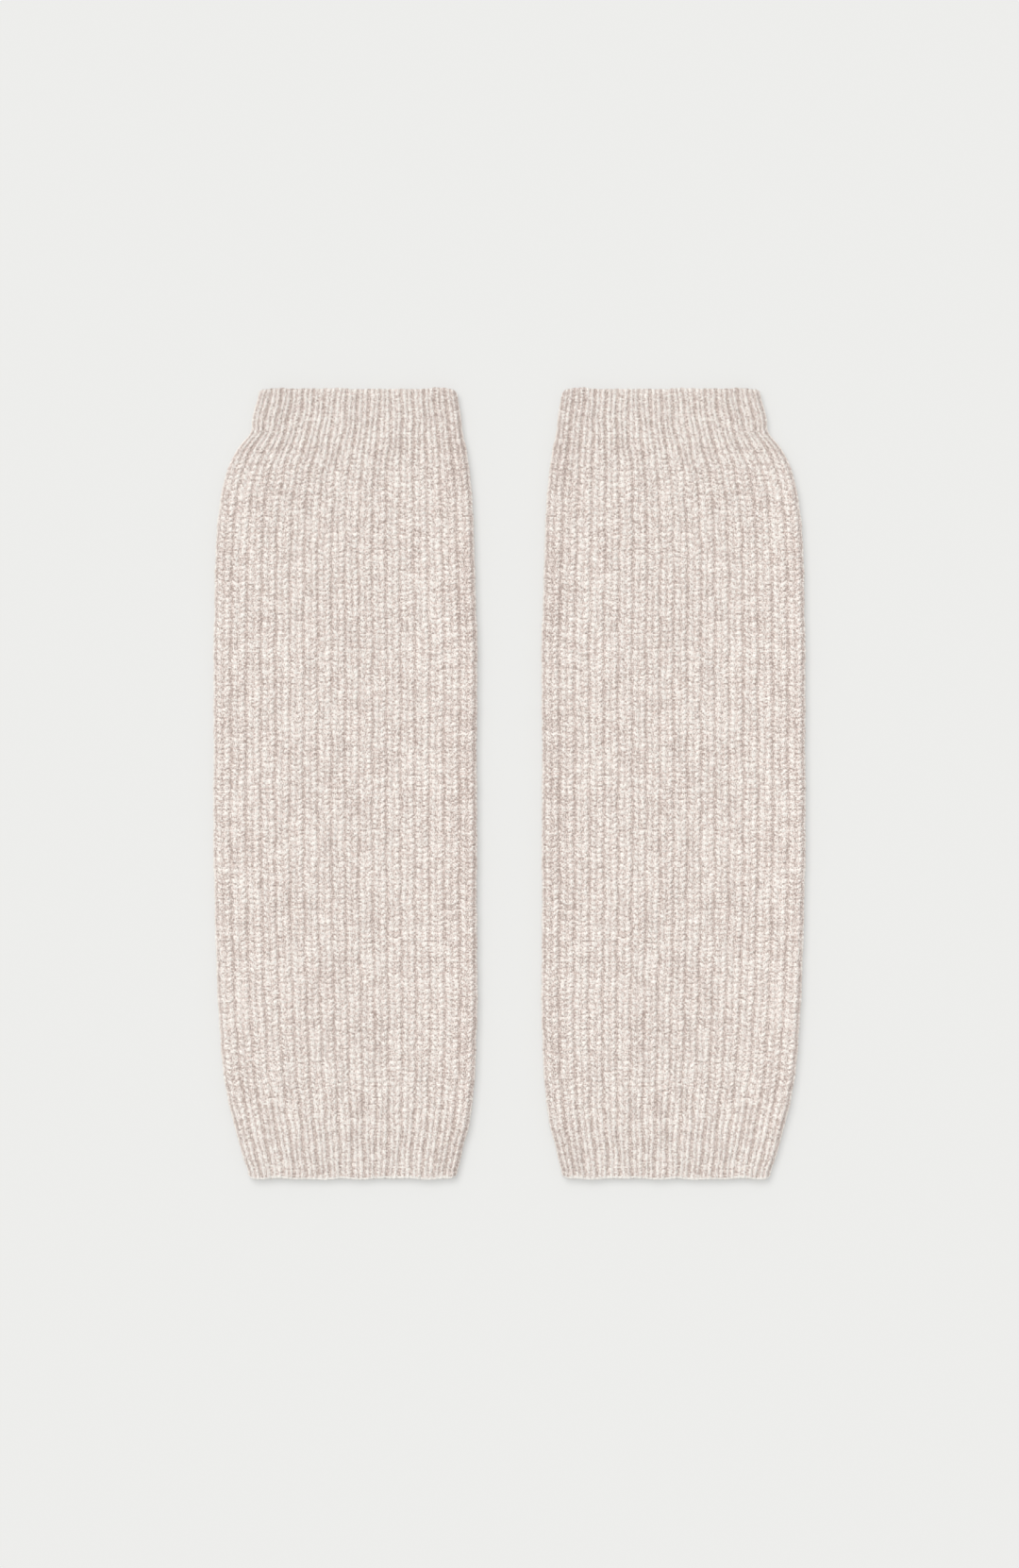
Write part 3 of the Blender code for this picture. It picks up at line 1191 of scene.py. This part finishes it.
@dataclass
class Studio:
    """A plain pale floor, soft light from above and the photo's camera.

    The view's and the silhouette's height, the lens and the sensor are in millimetres, and the floor's
    size and the camera's range in metres.
    """

    view_height: float = 714.0
    lens: float = 120.0
    sensor: float = 36.0
    silhouette_height: float = 3.75
    floor_size: float = 6.0
    floor_colour: tuple[float, float, float] = (0.348, 0.348, 0.342)
    floor_glow: tuple[float, float, float] = (0.393, 0.393, 0.385)
    sky: float = 0.66
    key: float = 2.3
    key_spread: float = math.radians(40.0)
    key_tilt: tuple[float, float] = (math.radians(22.0), math.radians(15.0))
    near: float = 0.1
    far: float = 20.0

    def floor(self) -> bpy.types.Object:
        """Lays the floor, lit a little from below like a light table.

        Returns:
            The floor.
        """
        mesh = bmesh.new()
        bmesh.ops.create_grid(mesh, x_segments=1, y_segments=1, size=self.floor_size / 2)
        data = bpy.data.meshes.new("floor")
        mesh.to_mesh(data)
        mesh.free()
        floor = bpy.data.objects.new("floor", data)
        bpy.context.scene.collection.objects.link(floor)
        material = bpy.data.materials.new("pale_floor")
        material.use_nodes = True
        shader = material.node_tree.nodes["Principled BSDF"]
        shader.inputs["Base Color"].default_value = (*self.floor_colour, 1.0)
        shader.inputs["Roughness"].default_value = 1.0
        shader.inputs["Specular IOR Level"].default_value = 0.0
        shader.inputs["Emission Color"].default_value = (*self.floor_glow, 1.0)
        shader.inputs["Emission Strength"].default_value = 1.0
        data.materials.append(material)
        return floor

    def light(self) -> None:
        """Sets the soft light from above and the upper left."""
        scene = bpy.context.scene
        scene.view_settings.view_transform = "Standard"
        world = bpy.data.worlds.new("studio")
        world.use_nodes = True
        background = world.node_tree.nodes["Background"]
        background.inputs["Color"].default_value = (1.0, 1.0, 1.0, 1.0)
        background.inputs["Strength"].default_value = self.sky
        scene.world = world
        lamp = bpy.data.lights.new("key", "SUN")
        lamp.energy = self.key
        lamp.angle = self.key_spread
        key = bpy.data.objects.new("key", lamp)
        key.rotation_euler = (-self.key_tilt[0], -self.key_tilt[1], 0.0)
        scene.collection.objects.link(key)

    def camera(self) -> None:
        """Sets the camera straight above the pair, with the photo's frame."""
        data = bpy.data.cameras.new("camera")
        data.sensor_width = self.sensor
        data.lens = self.lens
        distance = self.view_height * self.lens / self.sensor
        data.clip_start = self.near
        data.clip_end = self.far
        camera = bpy.data.objects.new("camera", data)
        camera.location = (0.0, 0.0, (self.silhouette_height + distance) * MM)
        bpy.context.scene.collection.objects.link(camera)
        bpy.context.scene.camera = camera

    def build(self) -> None:
        """Sets the whole stage."""
        self.floor()
        self.light()
        self.camera()


@dataclass
class ArmWarmers:
    """The pair: three zones of knitting on either side."""

    wool: WoolFinish = field(default_factory=WoolFinish)

    def dress(self, data: bpy.types.Mesh, zone: Zone, hand: Hand) -> bpy.types.Object:
        """Puts a zone's mesh in the scene in place of its node.

        Args:
            data: the mesh.
            zone: the zone.
            hand: the arm warmer that it belongs to.

        Returns:
            The piece.
        """
        node = f"{zone.name}_{hand.value}"
        piece = bpy.data.objects.new(f"knit_{node}", data)
        bpy.context.scene.collection.objects.link(piece)
        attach(piece, BODY)
        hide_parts(node)
        self.declare(zone)
        LOG.info("%s has %d faces", piece.name, len(data.polygons))
        return piece

    def declare(self, zone: Zone) -> None:
        """Reads the cut of the cloth at places along the zone, and does nothing more with it.

        Args:
            zone: its zone.
        """
        section = PressedTube().at(np.linspace(zone.start, zone.finish, CUT_SAMPLES))

    def build(self) -> None:
        """Makes both arm warmers."""
        material = self.wool.material()
        for zone in ZONES:
            left = KnittedZone(zone).build()
            left.materials.append(material)
            right = left.copy()
            right.transform(Matrix.Scale(-1, 4, (1, 0, 0)))
            right.flip_normals()
            self.dress(left, zone, Hand.LEFT)
            self.dress(right, zone, Hand.RIGHT)


def main() -> None:
    """Loads the frame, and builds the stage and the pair."""
    logging.basicConfig(level=logging.INFO)
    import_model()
    Studio().build()
    ArmWarmers().build()


if __name__ == "__main__":
    main()
